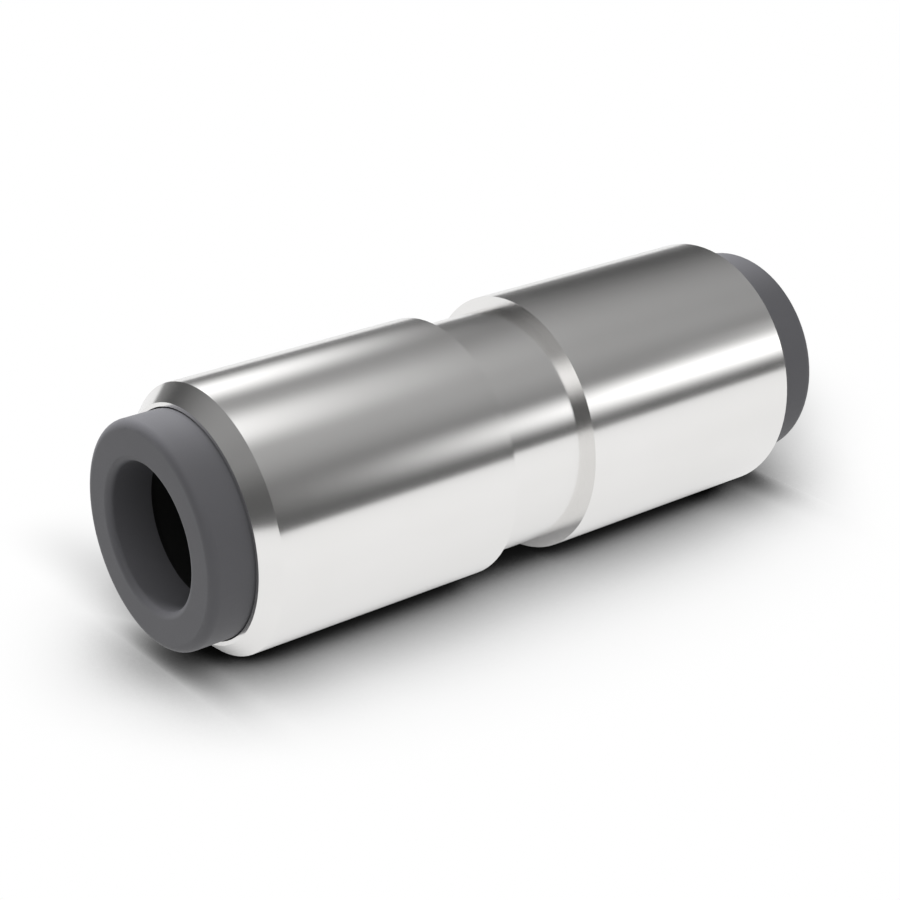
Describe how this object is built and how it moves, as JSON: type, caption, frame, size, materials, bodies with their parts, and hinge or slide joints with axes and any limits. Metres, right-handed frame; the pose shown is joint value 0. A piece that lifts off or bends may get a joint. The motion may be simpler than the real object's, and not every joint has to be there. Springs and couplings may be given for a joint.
{
  "type": "straight push-fit connector",
  "caption": "Straight push-fit connector for tube: waisted nickel plated body with a dark release collar in each end that slides in to free the tube.",
  "frame": {"origin": "centre of the lower release collar's end face, on the floor the connector stands on", "axes": "+Z along the connector's axis, upwards from one tube port to the other"},
  "size_m": [0.015, 0.015, 0.0426],
  "materials": {
    "nickel_plate": "nickel plated, polished",
    "collar_plastic": "moulded, satin",
    "retainer_brass": "pressed sheet",
    "spring_steel": "stamped stainless sheet",
    "spacer_plastic": "moulded",
    "seal_rubber": "moulded rubber"
  },
  "bodies": {
    "housing": {"body": "nickel_plate", "retainer_upper": "retainer_brass", "retainer_lower": "retainer_brass", "grip_ring_upper": "spring_steel", "grip_ring_lower": "spring_steel", "spacer_upper": "spacer_plastic", "spacer_lower": "spacer_plastic", "seal_upper": "seal_rubber", "seal_lower": "seal_rubber"},
    "release_upper": {"collar_upper": "collar_plastic"},
    "release_lower": {"collar_lower": "collar_plastic"}
  },
  "joints": [
    {"name": "press_upper", "type": "slide", "parent": "housing", "child": "release_upper", "axis": [0, 0, -1], "range_m": [0, 0.0013], "stiffness_N_per_m": 8000, "deforming": ["grip_ring_upper"]},
    {"name": "press_lower", "type": "slide", "parent": "housing", "child": "release_lower", "axis": [0, 0, 1], "range_m": [0, 0.0013], "stiffness_N_per_m": 8000, "deforming": ["grip_ring_lower"]}
  ]
}
